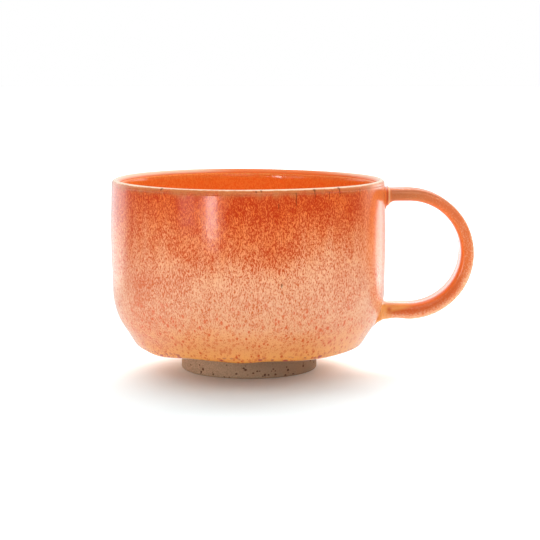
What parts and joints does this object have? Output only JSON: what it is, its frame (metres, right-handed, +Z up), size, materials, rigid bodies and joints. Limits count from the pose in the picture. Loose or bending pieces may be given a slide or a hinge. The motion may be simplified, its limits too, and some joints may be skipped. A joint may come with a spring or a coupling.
{
  "type": "stoneware mug",
  "caption": "Wide glazed stoneware mug with an upright wall, curved shoulder, bare foot ring and a round strap handle.",
  "frame": {"origin": "on the standing surface, under the middle of the bounding box", "axes": "+X from the cup towards the handle, +Z up out of the mouth, +Y completes the right-handed frame"},
  "size_m": [0.133, 0.1, 0.07],
  "materials": {
    "clay": "bare fired clay with iron specks",
    "slip": "bare fired slip",
    "outside_glaze": "glossy orange glaze that breaks to peach",
    "lip_glaze": "thin glossy glaze that breaks to cream",
    "inside_glaze": "glossy orange glaze",
    "handle_glaze": "glossy red-orange glaze"
  },
  "bodies": {
    "root": {"cup_body": "clay", "foot_ring": "clay", "foot_slip": "slip", "handle_strap": "clay", "upper_handle_joint": "slip", "lower_handle_joint": "slip", "outer_glaze": "outside_glaze", "lip_glaze": "lip_glaze", "liner_glaze": "inside_glaze", "handle_glaze": "handle_glaze"}
  },
  "joints": []
}
